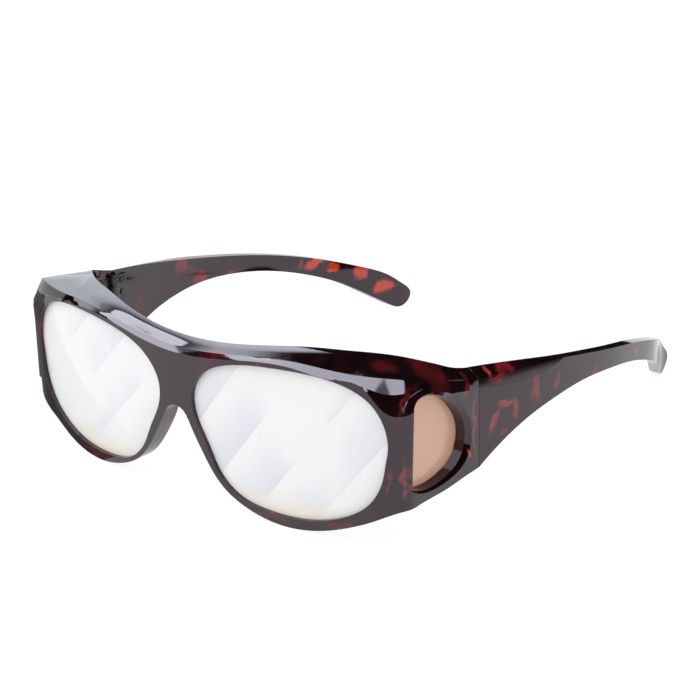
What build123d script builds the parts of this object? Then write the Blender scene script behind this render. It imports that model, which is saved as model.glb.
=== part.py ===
from build123d import *
import math
import os

# Fitover sunglasses, worn over a pair of ordinary spectacles. Millimetres.
# +X is the wearer's left, -Y is the front, +Z is up. The glasses stand open on
# a level surface, on the bottoms of both rims and on both temple tips.
# While they are built, y is measured back from the front of the bridge. At the
# end everything moves forward by half the length, which puts the origin under
# the middle of the whole.

# Overall sizes
frame_height = 48.0
overall_length = 165.0
seam_depth = 40.6
wrap_radius = 235.0
corner_radius = 3.8

# Main lenses and the openings they show through
bridge_width = 11.6
lens_opening_width = 60.0
cheek_width = 5.7
rim_low = 2.9
rim_top = 3.5
lens_thickness = 2.0
front_lip = 1.3
groove_depth = 0.8
lens_clearance = 0.05

# Walls of the moulded front
front_wall = 4.2
side_wall = 3.0
hinge_wall = 3.8
roof_wall = 1.5
roof_edge = 1.9
side_lean = 1.3

# Side windows and their small lenses
window_front_y = 13.4
window_length = 22.8
window_height = 25.4
window_low_z = 14.6
window_depth = 4.2
window_taper = 0.8
window_bevel = 1.4
window_rim = 2.2
window_lip = 0.8
side_lens_thickness = 1.5

# Nose arch and the two wings that rest on the nose
arch_height = 26.4
wing_reach = 1.6
wing_thickness = 1.6

# Temples
seam_low_z = 13.5
seam_gap = 0.15
temple_thickness = 3.3
temple_bow = 3.3
temple_tuck = 17.4

# Hinges: three barrels on a screw, with a leaf let into each inner face
hinge_height = 7.5
hinge_drop = 5.92
barrel_radius = 1.5
leaf_thickness = 0.8
leaf_length = 5.6
pin_radius = 0.7
pin_clearance = 0.05
knuckle_gap = 0.1
pocket_clearance = 0.1
screw_head_radius = 1.2
screw_head_height = 0.7
screw_slot_width = 0.35
screw_slot_depth = 0.3
rivet_radius = 0.6
rivet_head_radius = 1.0
rivet_head_height = 0.35
rivet_depth = 1.4
rivet_pitch = 3.8
rivet_inset = 1.7
rivet_clearance = 0.05

# One overrun takes every cut clear of what it cuts
overrun = 2.0

half_width = bridge_width / 2 + lens_opening_width + cheek_width
lens_opening_height = frame_height - rim_low - rim_top
lens_centre_x = (bridge_width + lens_opening_width) / 2
lens_centre_z = rim_low + lens_opening_height / 2
seam_top_share = 0.8525
seam_top_z = seam_top_share * frame_height
hinge_centre_z = seam_top_z - hinge_drop
temple_length = overall_length - seam_depth - seam_gap
axis_x = half_width - hinge_wall - (barrel_radius - leaf_thickness)
axis_y = seam_depth

# Outline of a lens opening: shares of its width and height from its centre
opening_shares = [
    (0.500, 0.040), (0.497, 0.200), (0.437, 0.362), (0.295, 0.468), (0.107, 0.497),
    (-0.080, 0.487), (-0.265, 0.447), (-0.413, 0.352), (-0.492, 0.190), (-0.478, 0.010),
    (-0.422, -0.140), (-0.365, -0.300), (-0.255, -0.440), (-0.080, -0.498),
    (0.110, -0.494), (0.288, -0.422), (0.418, -0.292), (0.480, -0.125),
]

# Lower edge of the front, one half: shares of the half width and of the arch
low_edge_shares = [
    (0.000, 1.000), (0.042, 0.957), (0.073, 0.830), (0.105, 0.680), (0.140, 0.530),
    (0.182, 0.370), (0.238, 0.225), (0.305, 0.125), (0.400, 0.040), (0.520, 0.000),
    (0.630, 0.030), (0.740, 0.112), (0.850, 0.240), (0.925, 0.350), (0.965, 0.400),
    (1.000, 0.428), (1.060, 0.445),
]

# Lower edge of the side panels: shares of the way from the corner to the seam
# and of the height of the seam's low end
panel_edge_shares = [
    (0.000, 0.798), (0.060, 0.828), (0.135, 0.840), (0.320, 0.848), (0.550, 0.878),
    (0.780, 0.948), (1.000, 1.000), (1.080, 1.020),
]

# Back edge of the nose wings: shares of their reach and of the arch's height
wing_rear_shares = [(-0.60, -0.05), (0.50, 0.06), (1.00, 0.35), (0.90, 0.80), (-0.60, 1.15)]
wing_points = 9

# Back edge of a side window: shares of its length and height
window_shares = [
    (0.000, 0.890), (0.100, 0.982), (0.290, 0.998), (0.560, 0.922), (0.830, 0.720),
    (1.000, 0.400), (0.900, 0.135), (0.620, 0.012), (0.220, -0.005), (0.000, 0.075),
]

# Stations along the plan of the front, from its middle to the seam
front_station_shares = [0.00, 0.20, 0.43, 0.57, 0.71, 0.84, 0.93]
corner_turn_shares = [0.5, 1.0]
side_station_shares = [0.22, 0.48, 0.74, 1.00]

# Creases that run along the front, station by station. Heights are shares of
# the frame's height, insets are shares of the front wall's thickness.
face_height_shares = [
    0.871, 0.894, 0.941, 0.941, 0.919, 0.892, 0.772, 0.780, 0.795, 0.812, 0.802, 0.774, 0.748,
]
band_height_shares = [
    0.877, 0.900, 0.947, 0.947, 0.925, 0.902, 0.879, 0.890, 0.896, 0.903, 0.869, 0.830, 0.792,
]
band_inset_shares = [
    0.07, 0.07, 0.07, 0.07, 0.08, 0.12, 0.24, 0.45, 0.52, 0.48, 0.31, 0.18, 0.10,
]
brow_height_shares = [
    0.898, 0.919, 0.957, 0.967, 0.957, 0.953, 0.953, 0.947, 0.936, 0.911, 0.876, 0.838, 0.799,
]
brow_inset_shares = [
    0.29, 0.29, 0.29, 0.36, 0.36, 0.45, 0.66, 0.80, 0.72, 0.54, 0.33, 0.20, 0.12,
]
wall_shares = [
    1.00, 1.00, 1.00, 1.00, 1.00, 1.00, 0.80, 0.30, 0.00, 0.00, 0.00, 0.00, 0.00,
]
hinge_wall_shares = [
    0.00, 0.00, 0.00, 0.00, 0.00, 0.00, 0.00, 0.00, 0.00, 0.00, 0.10, 0.50, 1.00,
]

# How far the foot of the side panels leans in
lean_shares = [
    0.00, 0.00, 0.00, 0.00, 0.00, 0.00, 0.00, 1.00, 1.00, 0.95, 0.75, 0.40, 0.00,
]

# How far up the roof the long bevel reaches, from the brow to the back edge
bevel_reach_shares = [
    0.10, 0.10, 0.10, 0.10, 0.38, 0.84, 0.90, 0.90, 0.90, 0.88, 0.85, 0.80, 0.80,
]

# Back edge of the roof: shares of the half width, seam depth and frame height
roof_back_shares = [
    (0.000, 0.145, 0.933), (0.199, 0.165, 0.947), (0.420, 0.241, 0.987),
    (0.545, 0.323, 1.000), (0.664, 0.414, 0.999), (0.762, 0.527, 0.987),
    (0.825, 0.616, 0.967), (0.867, 0.682, 0.946), (0.902, 0.744, 0.925),
    (0.926, 0.788, 0.908), (0.941, 0.832, 0.893), (0.948, 0.906, 0.873),
    (0.948, 1.000, 0.8525),
]

# Crown of the roof: shares of the way back and of the rise over that way
roof_crown_shares = [(0.32, 0.055), (0.68, 0.055)]

# Temple seen from above: shares of its length, of the bow and of the tuck
temple_plan_shares = [
    (0.000, 0.00, 0.00), (0.155, 0.69, 0.00), (0.275, 0.97, 0.00), (0.380, 0.96, 0.00),
    (0.480, 0.75, 0.00), (0.640, 0.00, 0.05), (0.760, 0.00, 0.27), (0.870, 0.00, 0.64),
    (0.950, 0.00, 0.91), (1.030, 0.00, 1.00),
]

# Thickness along the temple, from its own towards its root's thickness
temple_wall_shares = [1.00, 0.55, 0.05, 0.00, 0.00, 0.00, 0.00, 0.20, 0.40, 0.45]

# Top edge of the temple, round the tip and back along its lower edge: shares
# of its length and of the seam's top height
temple_outline_shares = [
    (0.000, 1.000), (0.155, 0.925), (0.275, 0.857), (0.375, 0.800), (0.477, 0.739),
    (0.637, 0.628), (0.757, 0.518), (0.855, 0.410), (0.925, 0.310), (0.970, 0.205),
    (1.000, 0.095), (0.967, 0.000), (0.925, 0.045), (0.880, 0.135), (0.800, 0.288),
    (0.717, 0.402), (0.637, 0.487), (0.556, 0.552), (0.477, 0.594), (0.396, 0.620),
    (0.317, 0.622), (0.236, 0.596), (0.155, 0.545), (0.075, 0.455),
]
bevel_end = 2


def mirror_x(shape):
    """The same piece for the wearer's other side."""
    return mirror(shape, about=Plane.YZ)


def wrap_y(x):
    """Depth of the wrapped face behind the front of the bridge."""
    return x ** 2 / (2 * wrap_radius) + x ** 4 / (8 * wrap_radius ** 3)


def wrap_angle(x):
    """Angle by which the wrapped face has turned at x."""
    return math.atan(x / wrap_radius + x ** 3 / (2 * wrap_radius ** 3))


def corner_start():
    """Where the corner arc leaves the wrapped face, and its centre."""
    x = half_width - corner_radius
    for _ in range(20):
        x = half_width - corner_radius + corner_radius * math.sin(wrap_angle(x))
    turn = wrap_angle(x)
    return turn, half_width - corner_radius, wrap_y(x) + corner_radius * math.cos(turn)


def plan_stations():
    """Points on the outer plan of one half, each with its inward direction."""
    stations = []
    for share in front_station_shares:
        x = share * half_width
        stations.append(((x, wrap_y(x)), (-math.sin(wrap_angle(x)), math.cos(wrap_angle(x)))))
    turn, centre_x, centre_y = corner_start()
    for share in corner_turn_shares:
        angle = turn + (math.pi / 2 - turn) * share
        inward = (-math.sin(angle), math.cos(angle))
        point = (centre_x - corner_radius * inward[0], centre_y - corner_radius * inward[1])
        stations.append((point, inward))
    for share in side_station_shares:
        y = centre_y + (seam_depth - centre_y) * share
        stations.append(((half_width, y), (-1.0, 0.0)))
    return stations


def section_points(index, stations):
    """The corners of the front's section at one station."""
    (x, y), (inward_x, inward_y) = stations[index]

    def inside(inset, z):
        return Vector(x + inward_x * inset, y + inward_y * inset, z)

    lean = lean_shares[index] * side_lean
    brow_z = brow_height_shares[index] * frame_height
    front_part = wall_shares[index]
    hinge_part = hinge_wall_shares[index]
    wall = side_wall + (front_wall - side_wall) * front_part + (hinge_wall - side_wall) * hinge_part
    brow = inside(brow_inset_shares[index] * front_wall, brow_z)
    back_x, back_y, back_z = roof_back_shares[index]
    back = Vector(back_x * half_width, back_y * seam_depth, back_z * frame_height)
    crest = brow + (back - brow) * bevel_reach_shares[index]
    rise = Vector(0, 0, (back - crest).length)
    return [
        inside(lean, -overrun),
        inside(0, face_height_shares[index] * frame_height),
        inside(band_inset_shares[index] * front_wall, band_height_shares[index] * frame_height),
        brow,
        crest,
        *[crest + (back - crest) * along + rise * up for along, up in roof_crown_shares],
        back,
        back - Vector(0, 0, roof_edge),
        inside(wall, brow_z - roof_wall),
        inside(wall, -overrun),
    ]


def front_shell():
    """The wrapped front, roof and side panels, before anything is cut."""
    stations = plan_stations()
    half = [section_points(index, stations) for index in range(len(stations))]
    other = [[Vector(-p.X, p.Y, p.Z) for p in section] for section in half[:0:-1]]
    sections = other + half
    places = [0.0]
    for section, following in zip(sections, sections[1:]):
        steps = [(after - here).length for here, after in zip(section, following)]
        places.append(places[-1] + sum(steps) / len(steps))
    creases = []
    for corners in zip(*sections):
        creases.append(Edge.make_spline(list(corners), parameters=places))
    bands = []
    for crease, following in zip(creases, creases[1:] + creases[:1]):
        bands.append(Face.make_surface_from_curves(crease, following))
    for section in (sections[0], sections[-1]):
        bands.append(Face(Wire.make_polygon(section, close=True)))
    return Solid(Shell(bands))


def opening_face(grow):
    """A lens opening in the XZ plane, grown all round by the given amount."""
    width = lens_opening_width + 2 * grow
    height = lens_opening_height + 2 * grow
    points = [(lens_centre_x + u * width, lens_centre_z + v * height) for u, v in opening_shares]
    return Plane.XZ * make_face(Spline(points, periodic=True))


def cylinder_y(face, start, end):
    """A face of the XZ plane drawn out from y = start to y = end."""
    return Pos(0, end, 0) * extrude(face, amount=end - start)


def wrapped_slab(front, back, low, high):
    """A slab between two depths behind the wrapped face, on one half."""
    count = 6
    reach = half_width + overrun
    xs = [-overrun + (reach + overrun) * k / count for k in range(count + 1)]
    near = Spline([(x, wrap_y(x) + front) for x in xs])
    far = Spline([(x, wrap_y(x) + back) for x in xs])
    ends = [Line(near @ 0, far @ 0), Line(near @ 1, far @ 1)]
    plan = make_face([near, far] + ends)
    return Pos(0, 0, low) * extrude(plan, amount=high - low)


def lens_blank(grow):
    """A main lens, grown by a clearance to give the groove that holds it."""
    slab = wrapped_slab(front_lip - grow, front_lip + lens_thickness + grow, -overrun, frame_height)
    outline = opening_face(groove_depth - lens_clearance + grow)
    return slab & cylinder_y(outline, -overrun, seam_depth)


def low_edge_points():
    """Points of the front's whole lower edge, in x and z."""
    half = [(u * half_width, v * arch_height) for u, v in low_edge_shares]
    return [(-x, z) for x, z in half[:0:-1]] + half


def under_front():
    """What lies below the lower edge of the front, nose arch included."""
    points = low_edge_points()
    edge = Spline(points)
    (left, left_z), (right, right_z) = points[0], points[-1]
    floor = -2 * overrun
    sides = Polyline((right, right_z), (right, floor), (left, floor), (left, left_z))
    return Plane.XZ * make_face([edge, sides])


def under_panels():
    """What lies below the side panels, on one half."""
    corner_y = corner_start()[2]
    reach = seam_depth - corner_y
    points = [(corner_y + u * reach, v * seam_low_z) for u, v in panel_edge_shares]
    floor = -2 * overrun
    (first_y, first_z), (last_y, last_z) = points[0], points[-1]
    sides = Polyline((last_y, last_z), (last_y, floor), (first_y, floor), (first_y, first_z))
    face = Plane.YZ * make_face([Spline(points), sides])
    start = half_width - 2 * front_wall
    return Pos(start, 0, 0) * extrude(face, amount=3 * front_wall)


def wing_outline():
    """Outer side of the nose wings, the arch grown by their thickness."""
    half = [(u * half_width, v * arch_height) for u, v in low_edge_shares[:wing_points]]
    grown = [(0, arch_height + wing_thickness)]
    for before, here, after in zip(half, half[1:], half[2:]):
        run = Vector(after[0] - before[0], after[1] - before[1]).normalized()
        grown.append((here[0] - run.Y * wing_thickness, here[1] + run.X * wing_thickness))
    points = [(-x, z) for x, z in grown[:0:-1]] + grown
    (left, left_z), (right, right_z) = points[0], points[-1]
    sides = Polyline((right, right_z), (right, -overrun), (left, -overrun), (left, left_z))
    return Plane.XZ * make_face([Spline(points), sides])


def nose_wings():
    """Saddle behind the nose arch, deepest beside the nose, before the arch is cut."""
    points = [(front_wall + u * wing_reach, v * arch_height) for u, v in wing_rear_shares]
    rear = Spline(points)
    (low_y, low_z), (top_y, top_z) = points[0], points[-1]
    front = Polyline((top_y, top_z), (0, top_z), (0, low_z), (low_y, low_z))
    block = extrude(Plane.YZ * make_face([rear, front]), amount=half_width)
    block = Pos(-half_width / 2, 0, 0) * block
    return cylinder_y(wing_outline(), front_wall / 2, front_wall + wing_reach + overrun) & block


def window_face(grow, front_grow):
    """A side window in the YZ plane, grown all round, or less at its straight edge."""
    length = window_length + front_grow + grow
    height = window_height + 2 * grow
    points = []
    for u, v in window_shares:
        points.append((window_front_y - front_grow + u * length, window_low_z - grow + v * height))
    return Plane.YZ * make_face([Spline(points), Line(points[-1], points[0])])


def window_prism(grow, outer_x, inner_x):
    """A window face drawn out between two x positions on the wearer's left."""
    return Pos(inner_x, 0, 0) * extrude(window_face(grow, grow), amount=outer_x - inner_x)


def side_lens_blank(grow):
    """A side lens, grown by a clearance to give the groove that holds it."""
    outer = half_width - window_depth
    border = groove_depth - lens_clearance - window_taper
    return window_prism(border + grow, outer + grow, outer - side_lens_thickness - grow)


def window_rim_solid():
    """Raised rim inside the side panel that carries the side lens."""
    inner = half_width - window_depth - side_lens_thickness - window_lip
    return window_prism(window_rim, half_width - side_wall / 2, inner)


def window_cut():
    """The window's tapered bore and its mouth, bevelled behind the straight edge."""
    mouth = Pos(half_width, 0, 0) * window_face(window_bevel, 0)
    shoulder = Pos(half_width - window_bevel, 0, 0) * window_face(0, 0)
    inner = half_width - window_depth - side_lens_thickness - window_lip - overrun
    throat = Pos(inner, 0, 0) * window_face(-window_taper, -window_taper)
    bevel = loft([mouth, shoulder], ruled=True)
    bore = loft([shoulder, throat], ruled=True)
    return bevel + bore + extrude(mouth, amount=overrun)


def hinge_pocket(side):
    """Room for a leaf and the barrels: side -1 is the front, 1 the temple."""
    depth_x = axis_x + barrel_radius + pocket_clearance
    height = hinge_height + 2 * pocket_clearance
    length = leaf_length + pocket_clearance + overrun
    width = 3 * barrel_radius
    low = hinge_centre_z - height / 2
    start = axis_y - leaf_length - pocket_clearance if side < 0 else axis_y - overrun
    slot = Pos(depth_x - width, start, low) * Box(width, length, height, align=Align.MIN)
    well = Pos(axis_x, axis_y, low) * Cylinder(
        barrel_radius + pocket_clearance,
        height + 2 * screw_head_height,
        align=(Align.CENTER, Align.CENTER, Align.MIN),
    )
    return slot + well


def rivet_places(side):
    """Centres of a leaf's two rivets, in y and z."""
    y = axis_y + side * (leaf_length - rivet_inset)
    return [(y, hinge_centre_z + step * rivet_pitch / 2) for step in (-1, 1)]


def rod_x(radius, y, z, start, end):
    """A round rod along X between two x positions."""
    rod = extrude(Plane.YZ * Circle(radius), amount=end - start)
    return Pos(start, y, z) * rod


def rivet_holes(side):
    """Blind holes for the rivets, from inside the wall."""
    floor = axis_x + barrel_radius + rivet_depth + rivet_clearance
    return [rod_x(rivet_radius + rivet_clearance, y, z, axis_x, floor) for y, z in rivet_places(side)]


def front_frame():
    """The moulded front: face, brow, roof, side panels and nose saddle."""
    frame = front_shell() + nose_wings()
    frame -= cylinder_y(under_front(), -overrun, corner_start()[2] + corner_radius)
    cuts = [under_panels()]
    rims = [window_rim_solid()]
    holes = [window_cut(), side_lens_blank(lens_clearance), hinge_pocket(-1)]
    holes += [cylinder_y(opening_face(0), -overrun, corner_start()[2]), lens_blank(lens_clearance)]
    holes += rivet_holes(-1)
    for cut in cuts + [mirror_x(cut) for cut in cuts]:
        frame -= cut
    for rim in rims + [mirror_x(rim) for rim in rims]:
        frame += rim
    for hole in holes:
        frame -= hole
        frame -= mirror_x(hole)
    return frame


def temple_curve(inset):
    """Plan of a temple's outer face, moved in by a share of its thickness."""
    points = []
    for (along, bow, tuck), root in zip(temple_plan_shares, temple_wall_shares):
        wall = temple_thickness + (hinge_wall - temple_thickness) * root
        x = half_width + bow * temple_bow - tuck * temple_tuck - inset * wall
        points.append((x, seam_depth + seam_gap + along * temple_length))
    return points


def temple_blank():
    """Side outline of a temple drawn through, kept inside its curved plan."""
    first_y = seam_depth + seam_gap
    top = [(first_y + u * temple_length, v * seam_top_z) for u, v in temple_outline_shares]
    root = (first_y, seam_low_z)
    side = make_face([Spline(top + [root]), Line(root, top[0])])
    profile = extrude(Plane.YZ * side, amount=half_width + temple_bow + overrun)
    outer = Spline(temple_curve(0))
    inner = Spline(temple_curve(1))
    plan = make_face([outer, inner, Line(outer @ 0, inner @ 0), Line(outer @ 1, inner @ 1)])
    return profile & (Pos(0, 0, -overrun) * extrude(plan, amount=frame_height + overrun))


def temple_bevels():
    """Wedges that carry the front's two bevels on along a temple, to nothing."""
    stations = plan_stations()
    section = section_points(len(stations) - 1, stations)
    face, brow, crest = section[1], section[3], section[4]
    tail_x, tail_y = temple_curve(0)[bevel_end]
    tail = Vector(tail_x, tail_y, temple_outline_shares[bevel_end][1] * seam_top_z)
    align = (Align.CENTER, Align.CENTER, Align.MIN)
    wedges = []
    for low, high in ((face, brow), (brow, crest)):
        outward = (tail - low).cross(high - low)
        plane = Plane(origin=low, x_dir=tail - low, z_dir=outward)
        wedges.append(plane * Box(2 * temple_length, frame_height, frame_height, align=align))
    return wedges


def temple_left():
    """Left temple, bevelled and pocketed for its half of the hinge."""
    temple = temple_blank() - temple_bevels()
    return temple - hinge_pocket(1) - rivet_holes(1)


def knuckle_spans(side):
    """Lowest and highest z of each barrel that belongs to one leaf."""
    pitch = (hinge_height + knuckle_gap) / 3
    low = hinge_centre_z - hinge_height / 2
    spans = [(low + k * pitch, low + (k + 1) * pitch - knuckle_gap) for k in range(3)]
    return spans[::2] if side < 0 else spans[1:2]


def hinge_leaf(side):
    """Leaf let into the inner face, with its share of the three barrels."""
    plate_x = axis_x + barrel_radius - leaf_thickness
    low = hinge_centre_z - hinge_height / 2
    clear = barrel_radius + pocket_clearance
    length = leaf_length - clear
    start = axis_y - leaf_length if side < 0 else axis_y + clear
    leaf = Pos(plate_x, start, low) * Box(leaf_thickness, length, hinge_height, align=Align.MIN)
    for span_low, span_high in knuckle_spans(side):
        height = span_high - span_low
        root = start + length if side < 0 else axis_y
        align = (Align.CENTER, Align.CENTER, Align.MIN)
        leaf += Pos(plate_x, root, span_low) * Box(leaf_thickness, clear, height, align=Align.MIN)
        leaf += Pos(axis_x, axis_y, span_low) * Cylinder(barrel_radius, height, align=align)
    leaf -= Pos(axis_x, axis_y, hinge_centre_z) * Cylinder(pin_radius + pin_clearance, 2 * hinge_height)
    for y, z in rivet_places(side):
        leaf -= rod_x(rivet_radius + rivet_clearance, y, z, plate_x - overrun, plate_x + overrun)
    return leaf


def hinge_screw():
    """Slotted screw that is the hinge's pin."""
    low = hinge_centre_z - hinge_height / 2
    align = (Align.CENTER, Align.CENTER, Align.MIN)
    seat = low + hinge_height + pin_clearance
    screw = Pos(axis_x, axis_y, low) * Cylinder(pin_radius, hinge_height + pin_clearance, align=align)
    head = Pos(axis_x, axis_y, seat) * Cylinder(screw_head_radius, screw_head_height, align=align)
    slot = Pos(axis_x, axis_y, seat + screw_head_height) * Box(
        3 * screw_head_radius, screw_slot_width, 2 * screw_slot_depth
    )
    return screw + head - slot


def leaf_rivets(side):
    """Two headed rivets that hold a leaf, each a solid of its own."""
    plate_x = axis_x + barrel_radius - leaf_thickness
    tip = axis_x + barrel_radius + rivet_depth
    rivets = []
    for y, z in rivet_places(side):
        shank = rod_x(rivet_radius, y, z, plate_x - rivet_clearance, tip)
        head = rod_x(rivet_head_radius, y, z, plate_x - rivet_clearance - rivet_head_height,
                     plate_x - rivet_clearance)
        rivets.append(shank + head)
    return Compound(children=[solid for rivet in rivets for solid in rivet.solids()])


def main():
    """Build every piece and write each to its own file."""
    left = {
        "lens": lens_blank(0),
        "side_lens": side_lens_blank(0),
        "temple": temple_left(),
        "front_hinge": hinge_leaf(-1),
        "temple_hinge": hinge_leaf(1),
        "hinge_screw": hinge_screw(),
        "front_hinge_rivets": leaf_rivets(-1),
        "temple_hinge_rivets": leaf_rivets(1),
    }
    pieces = {"front_frame": front_frame()}
    for name, piece in left.items():
        pieces[name + "_left"] = piece
        pieces[name + "_right"] = mirror_x(piece)
    os.makedirs("parts", exist_ok=True)
    for name, piece in pieces.items():
        export_step(Pos(0, -overall_length / 2, 0) * piece, os.path.join("parts", name + ".step"))
    print("hinge axis x, y:", axis_x, axis_y - overall_length / 2)


main()
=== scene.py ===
# %% [markdown]
# These sunglasses are worn over ordinary spectacles. They are dark tortoiseshell plastic with two
# large pale lenses and a small tan lens in each side panel. The shapes are engineering
# solids, loaded here as a fixed frame, and this script gives them their finishes, the light and
# the camera.

# %% Load the fixed frame
import math

import bmesh
import bpy
from mathutils import Matrix, Vector

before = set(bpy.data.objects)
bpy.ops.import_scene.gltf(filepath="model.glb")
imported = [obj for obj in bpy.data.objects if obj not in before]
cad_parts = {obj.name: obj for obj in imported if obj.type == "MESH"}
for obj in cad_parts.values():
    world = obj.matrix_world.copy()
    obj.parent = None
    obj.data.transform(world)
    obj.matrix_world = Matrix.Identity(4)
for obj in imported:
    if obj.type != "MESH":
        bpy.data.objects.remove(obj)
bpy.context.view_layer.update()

MM = 0.001

# %% [markdown]
# A solid comes in as loose triangles. On real plastic, polishing takes the sharpness off every
# edge, and the rounded edge then catches the light. A Weld modifier joins the triangles, so that a
# Bevel modifier can tell an edge between two faces from a line across one face. It rounds only
# the edges that fold sharply, and the solid's own mesh stays as it is.

# %% Polished edges of the plastic
JOIN_DISTANCE = 0.001 * MM
EDGE_RADIUS = 0.3         # mm that polishing takes off an edge
EDGE_ANGLE = math.radians(60)
PLASTIC_NODES = ("front_frame", "temple_left", "temple_right")


def polish_edges(node):
    """Join a plastic solid's triangles and round its sharp edges a little."""
    node.modifiers.new("join", "WELD").merge_threshold = JOIN_DISTANCE
    polish = node.modifiers.new("polish", "BEVEL")
    polish.width, polish.segments, polish.profile = EDGE_RADIUS * MM, 2, 0.5
    polish.limit_method, polish.angle_limit = "ANGLE", EDGE_ANGLE


for name in PLASTIC_NODES:
    polish_edges(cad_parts[name])
print("polished nodes:", PLASTIC_NODES)

# %% [markdown]
# The solids come in with a hard edge wherever two faces meet. On the real moulding only the
# deliberate creases are crisp, and the crown of the roof is one smooth sweep. A small
# geometry-nodes modifier keeps an edge crisp only where it folds by more than a few degrees. That
# limit is wide over the roof, and narrow further out, at the front corners and on the temples,
# where small facets meet. The shading changes and every corner stays in its place.

# %% Smooth shading between the creases
CREASE_ANGLE = math.radians(14)
OUTER_CREASE_ANGLE = math.radians(8)
OUTER_X = 60 * MM         # from here out the narrow limit holds
LENS_NODES = ("lens_left", "lens_right", "side_lens_left", "side_lens_right")


def crease_group():
    """Geometry nodes that join a solid's triangles and shade them smooth up to an angle."""
    group = bpy.data.node_groups.new("crisp_creases", "GeometryNodeTree")
    group.interface.new_socket("Geometry", in_out="INPUT", socket_type="NodeSocketGeometry")
    group.interface.new_socket("Geometry", in_out="OUTPUT", socket_type="NodeSocketGeometry")
    start = group.nodes.new("NodeGroupInput")
    end = group.nodes.new("NodeGroupOutput")
    join = group.nodes.new("GeometryNodeMergeByDistance")
    join.inputs["Distance"].default_value = JOIN_DISTANCE
    fold = group.nodes.new("GeometryNodeInputMeshEdgeAngle")
    where = group.nodes.new("GeometryNodeInputPosition")
    aside = group.nodes.new("ShaderNodeSeparateXYZ")
    distance = group.nodes.new("ShaderNodeMath")
    distance.operation = "ABSOLUTE"
    outer = group.nodes.new("ShaderNodeMath")
    outer.operation = "GREATER_THAN"
    outer.inputs[1].default_value = OUTER_X
    limit = group.nodes.new("ShaderNodeMapRange")
    limit.inputs["To Min"].default_value = CREASE_ANGLE
    limit.inputs["To Max"].default_value = OUTER_CREASE_ANGLE
    crisp = group.nodes.new("FunctionNodeCompare")
    normals = group.nodes.new("GeometryNodeSetMeshNormal")
    normals.inputs["Remove Custom"].default_value = True
    group.links.new(start.outputs["Geometry"], join.inputs["Geometry"])
    group.links.new(where.outputs["Position"], aside.inputs[0])
    group.links.new(aside.outputs["X"], distance.inputs[0])
    group.links.new(distance.outputs[0], outer.inputs[0])
    group.links.new(outer.outputs[0], limit.inputs["Value"])
    group.links.new(limit.outputs["Result"], crisp.inputs["B"])
    group.links.new(fold.outputs["Unsigned Angle"], crisp.inputs["A"])
    group.links.new(crisp.outputs["Result"], normals.inputs["Edge Sharpness"])
    group.links.new(join.outputs["Geometry"], normals.inputs["Mesh"])
    group.links.new(normals.outputs["Mesh"], end.inputs["Geometry"])
    return group


creases = crease_group()
for name in PLASTIC_NODES + LENS_NODES:
    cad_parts[name].modifiers.new("creases", "NODES").node_group = creases
print("smoothed nodes:", len(PLASTIC_NODES + LENS_NODES))

# %% [markdown]
# A finish is easier to read as a few small helpers than as a long list of sockets. `material`
# starts a node tree with one Principled shader, `add` makes a node with its settings, `inputs`
# fills in its constant values, and `assign` puts the finish on solids.

# %% Start a material
def material(name):
    """A new material, its node tree and its Principled shader."""
    made = bpy.data.materials.new(name)
    made.use_nodes = True
    return made, made.node_tree, made.node_tree.nodes["Principled BSDF"]


def add(tree, kind, **settings):
    """A node of one kind, with its own settings."""
    node = tree.nodes.new(kind)
    for name, value in settings.items():
        setattr(node, name, value)
    return node


def inputs(node, **values):
    """Constant values for a node's sockets, named with underscores for spaces."""
    for name, value in values.items():
        node.inputs[name.replace("_", " ")].default_value = value
    return node


def assign(made, *names):
    """Give one material to CAD nodes, in place of all their slots."""
    for name in names:
        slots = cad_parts[name].data.materials
        slots.clear()
        slots.append(made)


print("solids to finish:", len(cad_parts))

# %% [markdown]
# What varies over a surface starts from Object coordinates, which stay with the piece when it is
# turned or exported. They are in metres, so a pattern in mm has a scale in the hundreds. A Mapping
# node stretches or turns them, a noise makes values from them, sums bend those values, and a ramp
# makes colours of them. Each helper here is one such node with its links.

# %% Helpers that vary a finish
def place(tree, **values):
    """Object coordinates through a Mapping node, for a pattern in metres."""
    mapping = inputs(add(tree, "ShaderNodeMapping"), **values)
    tree.links.new(add(tree, "ShaderNodeTexCoord").outputs["Object"], mapping.inputs["Vector"])
    return mapping.outputs["Vector"]


def noise(tree, vector, scale, detail=2.0, roughness=0.5, distortion=0.0):
    """A noise node over a vector: its Fac is a value and its Color three of them."""
    node = inputs(add(tree, "ShaderNodeTexNoise"), Scale=scale, Detail=detail,
                  Roughness=roughness, Distortion=distortion)
    tree.links.new(vector, node.inputs["Vector"])
    return node


def ramp(tree, value, stops):
    """A colour ramp with its stops as (position, colour) pairs."""
    node = add(tree, "ShaderNodeValToRGB")
    while len(node.color_ramp.elements) < len(stops):
        node.color_ramp.elements.new(0.5)
    for element, (position, colour) in zip(node.color_ramp.elements, stops):
        element.position = position
        element.color = (*colour, 1)
    tree.links.new(value, node.inputs["Fac"])
    return node.outputs["Color"]


def calculate(tree, operation, *values, clamp=False):
    """One arithmetic node, with sockets or plain numbers as its inputs."""
    node = add(tree, "ShaderNodeMath", operation=operation, use_clamp=clamp)
    for socket, value in zip(node.inputs, values):
        if isinstance(value, (int, float)):
            socket.default_value = value
        else:
            tree.links.new(value, socket)
    return node.outputs["Value"]


# %% [markdown]
# The hinges, screws and rivets are small stamped and turned pieces. They are plated dark, so that
# they nearly vanish against the plastic, and the drawn grain shows only as faint streaks. The
# streaks are a fine noise, squeezed along the height, that sets how rough the metal is. A broader
# noise on a colour ramp is its tarnish.

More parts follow.
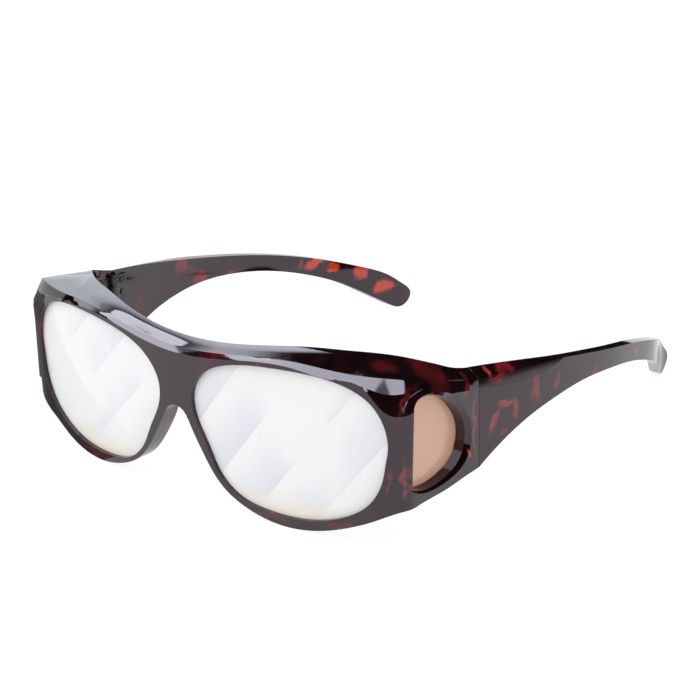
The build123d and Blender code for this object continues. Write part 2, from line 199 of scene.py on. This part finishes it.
# %% Hinge metal
METAL_ROUGHNESS_LEAST = 0.22
METAL_ROUGHNESS_SWING = 0.3
TARNISH_STOPS = [(0.35, (0.070, 0.066, 0.064)), (0.65, (0.120, 0.113, 0.108))]


def hinge_metal():
    """Dark plated metal with fine streaks along its grain."""
    made, tree, shader = material("dark_plated_metal")
    grain = noise(tree, place(tree, Scale=(1, 1, 6)), scale=1500, detail=3).outputs["Fac"]
    rough = calculate(tree, "MULTIPLY_ADD", grain, METAL_ROUGHNESS_SWING, METAL_ROUGHNESS_LEAST)
    tree.links.new(rough, shader.inputs["Roughness"])
    tarnish = noise(tree, place(tree), scale=420, detail=2).outputs["Fac"]
    tree.links.new(ramp(tree, tarnish, TARNISH_STOPS), shader.inputs["Base Color"])
    inputs(shader, Metallic=1.0)
    return made


metal_nodes = [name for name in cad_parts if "hinge" in name]
assign(hinge_metal(), *metal_nodes)
print("metal nodes:", len(metal_nodes))

# %% [markdown]
# The tan lenses of the side windows are plain and only a little deeper at one side. A Mapping
# node brings their length to the span of a colour ramp, which is all that so small a lens needs.

# %% Tan lenses of the side windows
TAN_SCALE = 30            # parts of the tan ramp per metre
TAN_FRONT = 70.0          # mm in front of the middle where the ramp starts
TAN_STOPS = [(0.0, (0.76, 0.45, 0.33)), (1.0, (0.70, 0.41, 0.295))]


def side_lens():
    """Tan tinted lens of the small side windows."""
    made, tree, shader = material("tan_lens")
    depth = add(tree, "ShaderNodeSeparateXYZ")
    start = (0, TAN_FRONT * MM * TAN_SCALE, 0)
    tree.links.new(place(tree, Scale=(1, TAN_SCALE, 1), Location=start), depth.inputs[0])
    tree.links.new(ramp(tree, depth.outputs["Y"], TAN_STOPS), shader.inputs["Base Color"])
    inputs(shader, Roughness=0.12, IOR=1.5)
    return made


tan_nodes = [name for name in LENS_NODES if name.startswith("side")]
assign(side_lens(), *tan_nodes)
print("tan lens nodes:", tan_nodes)

# %% [markdown]
# The large lenses are pale, with a painted reflection: a pale bluish sheen that fades across
# slanting bands, each with one crisp side. They are also warm towards the lower edge. A Mapping node
# turned by the bands' slant makes one coordinate that grows across them, and the fraction of it is a
# row of saw teeth. A slow noise lets the painted reflection come and go, and a ramp turns it into
# colour.

# %% Pale lenses of the front, with painted reflection bands
LENS_WHITE = (0.945, 0.947, 0.955)
# The bluish colour of the bands is a painted reflection, not a tint of the lens.
LENS_PAINTED_REFLECTION = (0.79, 0.81, 0.86)
LENS_CREAM = (0.94, 0.885, 0.79)
PAINTED_REFLECTION_STOPS = [(0.15, LENS_WHITE), (0.95, LENS_PAINTED_REFLECTION)]
PAINTED_REFLECTION_CONTRAST = 4.0              # how steeply the slow noise turns the sheen on and off
PAINTED_REFLECTION_SHIFT = -1.4
CREAM_HEIGHTS = (2.5, 11.0)       # mm over the floor between which the warm tint fades
PAINTED_REFLECTION_BANDS = {"left": (52, 5.4, 14.0), "right": (45, -44.0, 13.3)}


def saw_teeth(tree, slant, band_start, band_width):
    """A value that grows from 0 to 1 across each slanting band, then starts again."""
    across = add(tree, "ShaderNodeSeparateXYZ")
    turned = place(tree, Rotation=(0, math.radians(slant - 90), 0))
    tree.links.new(turned, across.inputs[0])
    along = calculate(tree, "SUBTRACT", across.outputs["X"], band_start * MM)
    return calculate(tree, "FRACT", calculate(tree, "DIVIDE", along, band_width * MM))


def cream_share(tree):
    """The share of warm tint, from 1 at the lower edge to 0 further up."""
    upright = add(tree, "ShaderNodeSeparateXYZ")
    tree.links.new(place(tree), upright.inputs[0])
    low, high = (height * MM for height in CREAM_HEIGHTS)
    fade = add(tree, "ShaderNodeMapRange", interpolation_type="SMOOTHSTEP")
    inputs(fade, From_Min=low, From_Max=high, To_Min=1.0, To_Max=0.0)
    tree.links.new(upright.outputs["Z"], fade.inputs["Value"])
    return fade.outputs["Result"]


def main_lens(name, slant, band_start, band_width):
    """Pale lens with painted reflection bands: their slant in degrees, first crisp side and width in
    mm.
    """
    made, tree, shader = material(name)
    cloud = noise(tree, place(tree), scale=36, detail=1.0).outputs["Fac"]
    cloud = calculate(tree, "MULTIPLY_ADD", cloud, PAINTED_REFLECTION_CONTRAST, PAINTED_REFLECTION_SHIFT, clamp=True)
    # The painted reflection: bluish slanting bands that come and go with the slow noise.
    painted_reflection = calculate(tree, "MULTIPLY", saw_teeth(tree, slant, band_start, band_width), cloud)
    tint = add(tree, "ShaderNodeMix", data_type="RGBA", blend_type="MIX")
    sockets = [socket for socket in tint.inputs if socket.enabled]
    tree.links.new(cream_share(tree), sockets[0])
    tree.links.new(ramp(tree, painted_reflection, PAINTED_REFLECTION_STOPS), sockets[1])
    sockets[2].default_value = (*LENS_CREAM, 1)
    mixed = next(socket for socket in tint.outputs if socket.enabled)
    tree.links.new(mixed, shader.inputs["Base Color"])
    inputs(shader, Roughness=0.06, IOR=1.5, Specular_IOR_Level=0.25, Alpha=0.94)
    return made


for side, (slant, band_start, band_width) in PAINTED_REFLECTION_BANDS.items():
    assign(main_lens("lens_painted_reflection_" + side, slant, band_start, band_width), "lens_" + side)
    print(side, "lens, mm across a band:", band_width)

# %% [markdown]
# Tortoiseshell sheet is cast from dark and amber chips, so its patches go right through the wall
# and show at the same place inside and outside. Each patch here is a stretched ball in the
# plastic: a Mapping node of type Texture brings its centre and radii to a unit ball, and the
# distance from that centre, bent by noise, gives a soft, uneven outline. The glow of a patch takes
# it from maroon over red to orange. Between the patches a slow noise keeps the dark plastic alive.

# %% Tortoiseshell plastic
BLACK_BROWN = (0.0050, 0.0018, 0.0022)
DEEP_BROWN = (0.0130, 0.0030, 0.0045)
MAROON = (0.0620, 0.0055, 0.0075)
RED = (0.2000, 0.0130, 0.0190)
ORANGE = (0.5500, 0.0520, 0.0140)
GLOW_STOPS = [(0.14, BLACK_BROWN), (0.25, DEEP_BROWN), (0.45, MAROON), (0.70, RED), (1.0, ORANGE)]
SHINE_TINT = (1.0, 0.89, 0.985, 1)
WALL_REACH = 7.0          # mm that a patch goes through the wall, more than the wall's thickness
UNEVEN = 2.2              # mm that noise bends a patch's outline
PATCH_EDGE = 1.5          # how steeply a patch fades at its outline, per radius
PATCH_END = 1.5           # radii from its centre at which a patch has faded away
CLOUD_LEAST = 0.5         # a patch's glow is uneven: this share of it is always there
CLOUD_SWING = 0.9
MOTTLE = 0.34             # glow that the slow noise gives the plastic between the patches


def vector_math(tree, operation, first, second=None):
    """One vector node: its Vector output, or its Value for LENGTH."""
    node = add(tree, "ShaderNodeVectorMath", operation=operation)
    tree.links.new(first, node.inputs[0])
    if isinstance(second, tuple):
        node.inputs[1].default_value = second
    elif second is not None:
        tree.links.new(second, node.inputs[1])
    return node.outputs["Value" if operation == "LENGTH" else "Vector"]


def patch_glow(tree, where, centre, size, tilt, glow):
    """One patch: its full glow inside, fading to nothing a little beyond its radii."""
    local = add(tree, "ShaderNodeMapping", vector_type="TEXTURE")
    inputs(local, Location=Vector(centre) * MM, Rotation=(math.radians(tilt), 0, 0),
           Scale=Vector(size) * MM)
    tree.links.new(where, local.inputs["Vector"])
    distance = vector_math(tree, "LENGTH", local.outputs["Vector"])
    inside = calculate(tree, "MULTIPLY_ADD", distance, -PATCH_EDGE, PATCH_END * PATCH_EDGE, clamp=True)
    return calculate(tree, "MULTIPLY", inside, glow)


def tortoiseshell(name, patches):
    """Polished dark plastic with named patches, each (centre, size, tilt, glow)."""
    made, tree, shader = material(name)
    plain = place(tree)
    wander = noise(tree, plain, scale=240, detail=1.5, roughness=0.5)
    shift = vector_math(tree, "SUBTRACT", wander.outputs["Color"], (0.5, 0.5, 0.5))
    shift = vector_math(tree, "MULTIPLY", shift, (2 * UNEVEN * MM,) * 3)
    where = vector_math(tree, "ADD", plain, shift)
    glow = 0.0
    for patch in patches:
        glow = calculate(tree, "MAXIMUM", glow, patch_glow(tree, where, *patch))
    cloud = calculate(tree, "MULTIPLY_ADD", wander.outputs["Fac"], CLOUD_SWING, CLOUD_LEAST)
    glow = calculate(tree, "MULTIPLY", glow, cloud)
    mottle = noise(tree, plain, scale=150, detail=3.0, distortion=0.8).outputs["Fac"]
    level = calculate(tree, "MULTIPLY_ADD", mottle, MOTTLE, glow, clamp=True)
    tree.links.new(ramp(tree, level, GLOW_STOPS), shader.inputs["Base Color"])
    inputs(shader, Roughness=0.05, IOR=1.585, Specular_IOR_Level=0.6, Specular_Tint=SHINE_TINT)
    print(name, "patches:", len(patches))
    return made


# %% [markdown]
# The front's patches come first. Each is its centre and its three radii in mm, its tilt in
# degrees, seen from the side, and its glow. The dull ones sit on the roof and the rims, and the
# bright ones beside the hinge seams and the side windows. The red along the lower rims' lip and
# the small orange spot at the back lower corner of the left side window are painted light that
# shines through the plastic.

# %% Patches of the front
FRONT_PATCHES = [
    ((66.5, -57.0, 44.0), (5.0, 4.0, WALL_REACH), 0, 0.27),      # roof over the left side window
    ((59.0, -66.5, 46.0), (4.0, 2.0, WALL_REACH), 0, 0.23),
    ((68.9, -71.4, 41.0), (0.5, WALL_REACH, 3.4), 0, 0.36),      # left front corner
    ((71.5, -43.6, 26.5), (WALL_REACH, 0.7, 7.0), 0, 0.50),      # beside the left seam
    # Painted orange glint of light shining through the plastic, at the back lower corner of the left
    # side window.
    ((71.4, -46.4, 19.0), (1.2, 0.5, 1.4), 20, 0.80),
    ((70.5, -46.5, 38.5), (WALL_REACH, 1.0, 2.4), -10, 0.45),
    ((66.3, -73.0, 19.0), (0.5, WALL_REACH, 2.6), 0, 0.36),
    ((70.0, -71.3, 18.8), (0.5, WALL_REACH, 3.6), 0, 0.45),
    ((14.6, -81.8, 44.5), (3.0, 5.0, 1.4), 0, 0.34),             # bridge and brow
    ((11.5, -82.0, 39.5), (3.0, 5.0, 4.0), 0, 0.22),
    ((27.5, -81.0, 43.6), (2.4, 5.0, 0.7), 0, 0.45),
    ((-8.8, -75.4, 15.0), (4.0, 2.6, 8.5), 0, 0.44),             # nose arch
    ((9.0, -79.0, 20.0), (1.4, 3.0, 5.0), 0, 0.26),
    # Painted red fringe of light shining through the plastic, along the lower lip of the rims.
    ((56.0, -76.0, 3.5), (6.0, 6.0, 1.4), 0, 0.36),              # lower rims
    ((30.0, -79.0, 1.5), (8.0, 5.0, 1.0), 0, 0.30),
    ((-32.0, -79.0, 1.5), (9.0, 5.0, 1.2), 0, 0.18),
    ((-66.0, -73.0, 30.0), (1.5, 4.0, 4.0), 0, 0.30),            # right corner and roof
    ((-66.0, -58.0, 44.5), (5.0, 5.0, WALL_REACH), 0, 0.36),
    ((-50.0, -70.0, 46.0), (5.0, 3.0, WALL_REACH), 0, 0.26),
    ((-71.5, -44.0, 20.0), (WALL_REACH, 0.9, 6.0), 0, 0.50),
    ((-70.9, -47.0, 38.0), (WALL_REACH, 2.0, 2.0), 0, 0.60),
]
assign(tortoiseshell("tortoiseshell_front", FRONT_PATCHES), "front_frame")

# %% [markdown]
# A temple's patches lie along it from the hinge to the tip. The left one has a bright arch near
# its root, and the right one shows its row of vivid patches near the tip from the inside.

# %% Patches of the temples
LEFT_TEMPLE_PATCHES = [
    ((72.0, -36.4, 25.4), (WALL_REACH, 1.2, 3.2), -28, 0.62),    # the arch near the root
    ((72.4, -32.0, 28.8), (WALL_REACH, 2.6, 1.0), 0, 0.58),
    ((73.2, -28.0, 26.4), (WALL_REACH, 1.0, 2.6), 15, 0.50),
    ((72.6, -33.0, 21.0), (WALL_REACH, 1.1, 1.2), 0, 0.40),
    ((74.0, -19.8, 30.0), (WALL_REACH, 1.4, 3.8), 0, 0.52),
    ((74.6, -10.6, 29.4), (WALL_REACH, 1.3, 2.2), -35, 0.50),
    ((74.5, 8.8, 26.6), (WALL_REACH, 1.6, 1.4), 0, 0.34),
    ((71.0, 36.0, 23.0), (WALL_REACH, 1.2, 1.1), 0, 0.48),
    ((70.6, -36.8, 39.2), (WALL_REACH, 0.9, 1.3), 0, 0.64),      # the bevel beside the seam
    ((71.2, -30.5, 38.4), (WALL_REACH, 2.4, 1.4), 0, 0.45),
    ((71.2, -34.5, 36.8), (WALL_REACH, 3.2, 1.0), 0, 0.50),
    ((62.5, 55.0, 16.8), (WALL_REACH, 2.6, 1.4), -20, 0.50),     # towards the tip
    ((55.5, 70.0, 9.0), (WALL_REACH, 3.0, 2.2), 0, 0.70),
]
RIGHT_TEMPLE_PATCHES = [
    ((-71.3, -9.0, 33.2), (WALL_REACH, 3.2, 2.4), 0, 0.50),      # the middle
    ((-71.6, -4.0, 30.2), (WALL_REACH, 2.6, 1.6), -30, 0.30),
    ((-71.5, -0.6, 26.2), (WALL_REACH, 3.0, 2.8), 0, 0.56),
    ((-71.1, 12.0, 24.8), (WALL_REACH, 3.6, 0.9), 0, 0.45),
    ((-71.5, 9.0, 32.6), (WALL_REACH, 2.6, 0.7), 0, 0.40),
    ((-66.4, 42.0, 22.0), (WALL_REACH, 1.0, 1.4), 0, 0.50),      # the row near the tip
    ((-65.0, 47.6, 21.2), (WALL_REACH, 3.6, 1.7), 15, 0.90),
    ((-62.6, 55.2, 18.4), (WALL_REACH, 2.2, 1.5), 0, 0.90),
    ((-58.2, 64.3, 15.0), (WALL_REACH, 2.2, 2.6), 0, 0.92),
    ((-54.0, 71.6, 8.4), (WALL_REACH, 3.4, 2.3), 10, 1.00),
    ((-72.0, -30.0, 27.0), (WALL_REACH, 2.0, 4.0), 20, 0.24),    # near the root
    ((-72.6, -34.0, 15.0), (WALL_REACH, 2.6, 2.0), 0, 0.26),
]
assign(tortoiseshell("tortoiseshell_left_temple", LEFT_TEMPLE_PATCHES), "temple_left")
assign(tortoiseshell("tortoiseshell_right_temple", RIGHT_TEMPLE_PATCHES), "temple_right")

# %% [markdown]
# The camera stands at the photograph's angle: a little to the wearer's left and above the front.
# The place, the lens and a slight roll were worked out from known corners of the glasses.

# %% Camera
CAMERA_PLACE = Vector((335.4, -400.6, 211.8)) * MM
CAMERA_TURN = math.radians(40.65)
CAMERA_RISE = math.radians(20.34)
CAMERA_ROLL = math.radians(-1.04)
PICTURE_PIXELS = 700
FOCAL_PIXELS = 1838.7


def direction(turn, rise):
    """A unit vector from its angle round the glasses and its height angle, in radians."""
    return Vector((math.sin(turn) * math.cos(rise), -math.cos(turn) * math.cos(rise), math.sin(rise)))


def aim(turn, rise, roll):
    """A camera's rotation from its angle round the object, its height angle and its roll."""
    back = direction(turn, rise)
    across = Vector((0, 0, 1)).cross(back).normalized()
    up = back.cross(across)
    right = across * math.cos(roll) + up * math.sin(roll)
    top = up * math.cos(roll) - across * math.sin(roll)
    return Matrix((right, top, back)).transposed().to_4x4()


camera_data = bpy.data.cameras.new("photo_camera")
camera_data.sensor_width = 36.0
camera_data.lens = FOCAL_PIXELS / PICTURE_PIXELS * camera_data.sensor_width
camera_data.clip_start, camera_data.clip_end = 0.01, 20.0
camera = bpy.data.objects.new("photo_camera", camera_data)
bpy.context.collection.objects.link(camera)
camera.matrix_world = Matrix.Translation(CAMERA_PLACE) @ aim(CAMERA_TURN, CAMERA_RISE, CAMERA_ROLL)
bpy.context.scene.camera = camera
print("camera lens, mm:", round(camera_data.lens, 1))

# %% [markdown]
# The floor is a white sheet that glows just enough to stay white in the picture and in
# reflections. A little matt white is added to the glow, so that the glasses still leave their
# shadow. Other light meets a plain matt sheet, which lights the glasses softly from below.

# %% Floor
FLOOR_GLOW = 0.90
FLOOR_SHADOW_WHITE = (0.16, 0.16, 0.16, 1)
FLOOR_MATT_WHITE = (0.8, 0.8, 0.8, 1)
FLOOR_RADIUS = 3000.0


def seen_share(tree):
    """1 for the camera's own rays, reflections and what shows through lenses, otherwise 0."""
    path = add(tree, "ShaderNodeLightPath")
    seen = calculate(tree, "ADD", path.outputs["Is Camera Ray"], path.outputs["Is Glossy Ray"])
    return calculate(tree, "ADD", seen, path.outputs["Is Transmission Ray"], clamp=True)


def white_sheet():
    """Floor finish: a glow for the camera, reflections and lenses, matt white for the rest."""
    made, tree, shader = material("white_floor")
    inputs(shader, Base_Color=FLOOR_SHADOW_WHITE, Roughness=1.0, Specular_IOR_Level=0.0,
           Emission_Color=(1, 1, 1, 1), Emission_Strength=FLOOR_GLOW)
    matt = inputs(add(tree, "ShaderNodeBsdfDiffuse"), Color=FLOOR_MATT_WHITE)
    choice = add(tree, "ShaderNodeMixShader")
    tree.links.new(seen_share(tree), choice.inputs["Fac"])
    tree.links.new(matt.outputs["BSDF"], choice.inputs[1])
    tree.links.new(shader.outputs["BSDF"], choice.inputs[2])
    tree.links.new(choice.outputs["Shader"], tree.nodes["Material Output"].inputs["Surface"])
    return made


def studio_piece(name, mesh, made):
    """A piece of the studio from a bmesh: the floor, a card or a panel, and no part of the glasses."""
    data = bpy.data.meshes.new(name)
    mesh.to_mesh(data)
    mesh.free()
    data.materials.append(made)
    piece = bpy.data.objects.new(name, data)
    bpy.context.collection.objects.link(piece)
    return piece


sheet = bmesh.new()
bmesh.ops.create_circle(sheet, cap_ends=True, segments=64, radius=FLOOR_RADIUS * MM)
floor = studio_piece("floor", sheet, white_sheet())
print("floor, m across:", round(floor.dimensions.x, 1))

# %% [markdown]
# Polished dark plastic shows little colour of its own: what the eye reads is the studio in it. An
# upright black card round the sides, and a taller one further off, give the corner, the long bevel
# and the side window's rim their dark look. Such a card is an upright edge that is spun round the
# glasses. It shows in reflections alone, so it doesn't change how light the colours come out.

# %% Upright black cards
CARD_BLACK = 0.01


def reflected_only(piece):
    """Keep a piece of the studio out of the picture and out of the matt light."""
    piece.visible_camera = False
    piece.visible_diffuse = False
    piece.visible_shadow = False
    piece.visible_transmission = False
    return piece


def matt_paper(name, shade):
    """Plain matt paper, from 0 for black to 1 for white."""
    made, tree, shader = material(name)
    inputs(shader, Base_Color=(shade, shade, shade, 1), Roughness=1.0, Specular_IOR_Level=0.0)
    return made


def black_card(name, first, last, distance, foot, top):
    """An upright curved card, from one angle round the glasses to another, in degrees and mm."""
    mesh = bmesh.new()
    start = direction(math.radians(first), 0) * distance * MM
    ends = [mesh.verts.new(start + Vector((0, 0, height)) * MM) for height in (foot, top)]
    edge = mesh.edges.new(ends)
    bmesh.ops.spin(mesh, geom=ends + [edge], axis=(0, 0, 1), cent=(0, 0, 0), steps=24,
                   angle=math.radians(last - first))
    return reflected_only(studio_piece(name, mesh, matt_paper(name, CARD_BLACK)))


cards = [
    black_card("side_card", -4, 212, 420, 0, 190),
    black_card("back_card", 60, 300, 1100, 370, 2400),
]
print("upright cards:", [card.name for card in cards])

# %% [markdown]
# The white floor mirrors in every surface that faces down a little. Two flat cards on it darken the
# far rim and the upper half of the far tip, as in the photograph.

# %% Dark cards on the floor
CARD_HEIGHT = 0.2         # mm that a floor card lies over the floor


def flat_sheet(stand, size_mm):
    """A bmesh of one flat rectangle on a stand, which is its matrix."""
    mesh = bmesh.new()
    size = Matrix.Diagonal((size_mm[0] * MM, size_mm[1] * MM, 1, 1))
    bmesh.ops.create_grid(mesh, x_segments=1, y_segments=1, size=0.5, matrix=stand @ size)
    return mesh


def level_place(left, right, front, back, height):
    """The stand and the size in mm of a level rectangle, by its four sides and height in mm."""
    middle = Vector(((left + right) / 2, (front + back) / 2, height)) * MM
    return Matrix.Translation(middle), (right - left, back - front)


def floor_card(name, left, right, front, back, shade):
    """A dark card that lies just above the floor, by its four sides in mm."""
    mesh = flat_sheet(*level_place(left, right, front, back, CARD_HEIGHT))
    return reflected_only(studio_piece(name, mesh, matt_paper(name, shade)))


floor_cards = [
    floor_card("left_floor_card", -420, -34, -95, 20, 0.22),
    floor_card("inner_floor_card", -9.5, 48, 56, 61, CARD_BLACK),
]
print("floor cards:", [card.name for card in floor_cards])

# %% [markdown]
# Level panels overhead give the facets over the lenses their pale blue shine. An upright panel at
# the left lights the roof, and fades towards its top edge as the roof does. A panel is one flat
# rectangle whose glow follows its height, and it shows in reflections alone, as the cards do.

# %% Glowing panels that show in reflections
PANEL_TINT = (0.94, 1.02, 1.09)
PANEL_DISTANCE = 750.0    # mm from the point that a panel or a softbox faces
AIM_MM = (0, -60, 35)
OVERHEAD_HEIGHT = 735.0
OVERHEAD_STRENGTH = 6.2
LEFT_PANEL_LEVELS = [(84, 1.6), (270, 1.8), (400, 2.7), (500, 2.6), (590, 0.2)]


def bright_panel(name, stand, size_mm, levels):
    """A glowing panel on a stand, which is its matrix; levels are (height in mm, strength)."""
    made, tree, shader = material(name)
    height = add(tree, "ShaderNodeSeparateXYZ")
    tree.links.new(place(tree), height.inputs[0])
    top = levels[-1][0]
    strongest = max(strength for _, strength in levels)
    share = calculate(tree, "DIVIDE", height.outputs["Z"], top * MM)
    stops = [(level / top, [strength / strongest * part for part in PANEL_TINT])
             for level, strength in levels]
    tree.links.new(ramp(tree, share, stops), shader.inputs["Emission Color"])
    inputs(shader, Base_Color=(0, 0, 0, 1), Specular_IOR_Level=0.0, Emission_Strength=strongest)
    return reflected_only(studio_piece(name, flat_sheet(stand, size_mm), made))


def overhead_panel(name, left, right, front, back):
    """A level panel over the glasses, by its four sides in mm."""
    levels = [(0, OVERHEAD_STRENGTH), (OVERHEAD_HEIGHT, OVERHEAD_STRENGTH)]
    return bright_panel(name, *level_place(left, right, front, back, OVERHEAD_HEIGHT), levels)


def facing(turn, rise):
    """A stand in a direction from the glasses, in degrees, turned to face them."""
    turn, rise = math.radians(turn), math.radians(rise)
    centre = Vector(AIM_MM) * MM + direction(turn, rise) * PANEL_DISTANCE * MM
    return Matrix.Translation(centre) @ aim(turn, rise, 0)


panels = [
    overhead_panel("wide_panel", -560, 650, -1270, 120),
    overhead_panel("narrow_panel", -760, -560, -620, 310),
    bright_panel("left_panel", facing(-110, 24), (660, 560), LEFT_PANEL_LEVELS),
]
print("glowing panels:", [panel.name for panel in panels])

# %% [markdown]
# One large softbox from the upper left is just strong enough to shape the pieces and to leave a
# faint shadow on the floor. The panels already give the shine, so it isn't mirrored.

# %% Softbox
def softbox(name, turn, rise, size_mm, power):
    """A rectangular area light in a direction from the glasses, facing them."""
    light = bpy.data.lights.new(name, "AREA")
    light.shape = "RECTANGLE"
    light.size, light.size_y = size_mm[0] * MM, size_mm[1] * MM
    light.energy = power
    lamp = bpy.data.objects.new(name, light)
    bpy.context.collection.objects.link(lamp)
    lamp.matrix_world = facing(turn, rise)
    lamp.visible_glossy = False
    return lamp


lamp = softbox("upper_left_softbox", -30, 55, (700, 500), 1.6)
print("softbox, W:", round(lamp.data.energy, 2))

# %% [markdown]
# The rest of the matt light comes evenly from all sides of a pale room. The room is pure white
# where it is seen or mirrored, and a little less as a light. The Standard view shows a colour
# about as it is written.

# %% Room
ROOM_LEVEL = 0.95
world = bpy.data.worlds.new("pale_studio")
bpy.context.scene.world = world
world.use_nodes = True
room = inputs(world.node_tree.nodes["Background"], Color=(1, 1, 1, 1))
seen = seen_share(world.node_tree)
glow = calculate(world.node_tree, "MULTIPLY_ADD", seen, 1 - ROOM_LEVEL, ROOM_LEVEL)
world.node_tree.links.new(glow, room.inputs["Strength"])
bpy.context.scene.view_settings.view_transform = "Standard"
print("room level as a light:", ROOM_LEVEL)
